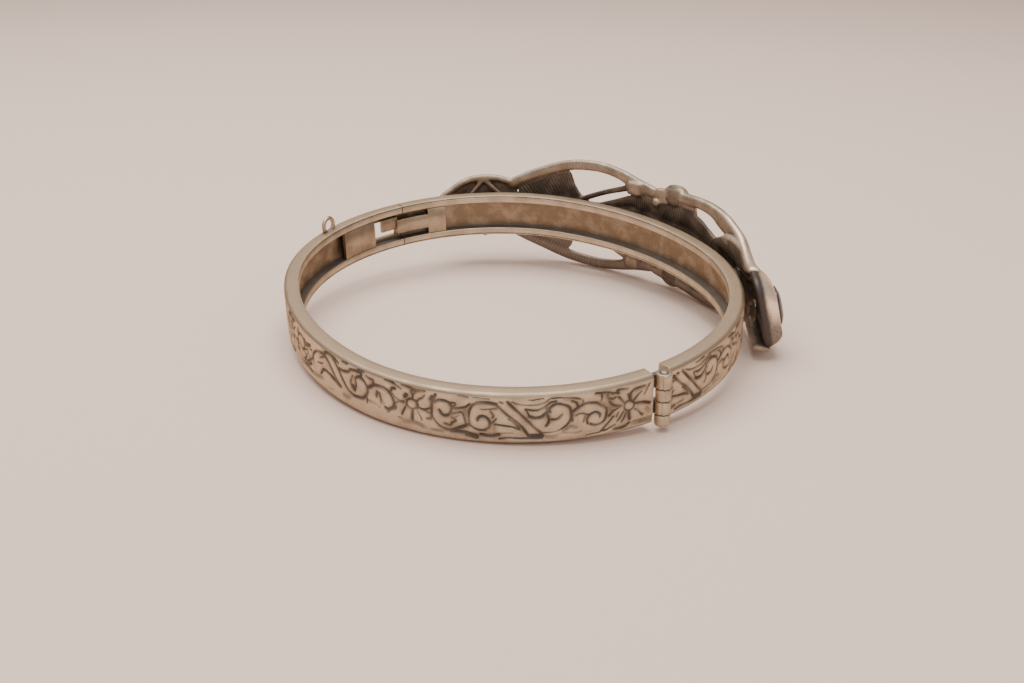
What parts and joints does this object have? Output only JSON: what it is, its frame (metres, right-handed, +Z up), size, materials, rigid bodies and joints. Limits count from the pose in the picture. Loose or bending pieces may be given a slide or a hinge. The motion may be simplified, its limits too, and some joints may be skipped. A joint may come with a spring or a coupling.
{
  "type": "hinged bangle",
  "caption": "Oval hinged bangle of channel section with scroll relief, spring catch, raised openwork leaf ornament and a dark cushion-cut stone.",
  "frame": {"origin": "centre of the wrist opening, on the surface that the bangle lies on", "axes": "+Z up; +X from the wrist opening's centre towards the hinge, in plan; the ornament is on the +Y side. The band is tipped about 5 degrees, its ornament side up, as it rests by itself."},
  "size_m": [0.0644, 0.0597, 0.0169],
  "materials": {
    "silver": "worn silver, warm grey, oxidised in the recesses",
    "cast_silver": "cast silver, grained, oxidised in the recesses",
    "onyx": "polished black stone, opaque"
  },
  "bodies": {
    "back_half": {"back_band": "silver", "hinge_pin": "silver", "catch_plate": "silver"},
    "front_half": {"front_band": "silver", "spring_tongue": "silver", "ornament": "cast_silver", "stone": "onyx"}
  },
  "joints": [
    {"name": "hinge", "type": "hinge", "parent": "back_half", "child": "front_half", "pos_m": [0.0309, -0.00024, 0.00093], "axis": [-0.0563, 0.0721, -0.9958], "range_deg": [0, 65]}
  ]
}
